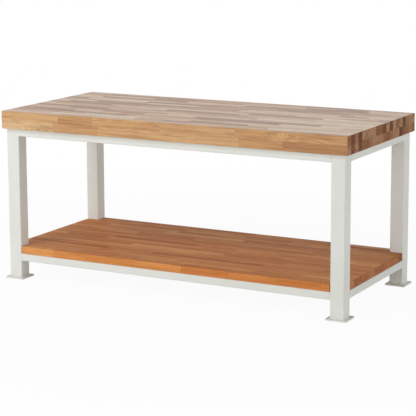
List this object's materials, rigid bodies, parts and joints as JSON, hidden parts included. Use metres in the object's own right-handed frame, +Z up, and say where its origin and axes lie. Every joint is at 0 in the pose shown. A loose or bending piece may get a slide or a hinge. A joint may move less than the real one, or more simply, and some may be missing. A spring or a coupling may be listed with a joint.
{
  "type": "assembly table",
  "caption": "Heavy assembly table: thick glued beech worktop and a lower beech shelf on a welded frame of grey square tube with foot plates.",
  "frame": {"origin": "on the floor under the middle of the table", "axes": "+Z up, +X along the length to the right as seen from the front, front at -Y"},
  "size_m": [2, 0.9, 0.915],
  "materials": {
    "beech_top": "oiled glued beech",
    "beech_shelf": "oiled glued beech, redder than the worktop",
    "frame_paint": "light grey powder coat, satin",
    "screw_zinc": "zinc plated"
  },
  "bodies": {
    "root": {"worktop": "beech_top", "shelf": "beech_shelf", "leg_front_left": "frame_paint", "leg_front_right": "frame_paint", "leg_rear_right": "frame_paint", "leg_rear_left": "frame_paint", "foot_plate_front_left": "frame_paint", "foot_plate_front_right": "frame_paint", "foot_plate_rear_right": "frame_paint", "foot_plate_rear_left": "frame_paint", "top_rail_front": "frame_paint", "top_rail_rear": "frame_paint", "top_rail_left": "frame_paint", "top_rail_right": "frame_paint", "lower_rail_front": "frame_paint", "lower_rail_rear": "frame_paint", "lower_rail_left": "frame_paint", "lower_rail_right": "frame_paint", "top_cross_rail": "frame_paint", "shelf_cross_rail_left": "frame_paint", "shelf_cross_rail_right": "frame_paint", "corner_gusset_front_left": "frame_paint", "corner_gusset_front_right": "frame_paint", "corner_gusset_rear_right": "frame_paint", "corner_gusset_rear_left": "frame_paint", "worktop_lug_front_left": "frame_paint", "worktop_lug_front_right": "frame_paint", "worktop_lug_rear_left": "frame_paint", "worktop_lug_rear_right": "frame_paint", "shelf_lug_front_left": "frame_paint", "shelf_lug_front_right": "frame_paint", "shelf_lug_rear_left": "frame_paint", "shelf_lug_rear_right": "frame_paint", "worktop_corner_screw_front_left": "screw_zinc", "worktop_corner_screw_front_right": "screw_zinc", "worktop_corner_screw_rear_right": "screw_zinc", "worktop_corner_screw_rear_left": "screw_zinc", "worktop_lug_screw_front_left": "screw_zinc", "worktop_lug_screw_front_right": "screw_zinc", "worktop_lug_screw_rear_left": "screw_zinc", "worktop_lug_screw_rear_right": "screw_zinc", "shelf_lug_screw_front_left": "screw_zinc", "shelf_lug_screw_front_right": "screw_zinc", "shelf_lug_screw_rear_left": "screw_zinc", "shelf_lug_screw_rear_right": "screw_zinc"}
  },
  "joints": []
}
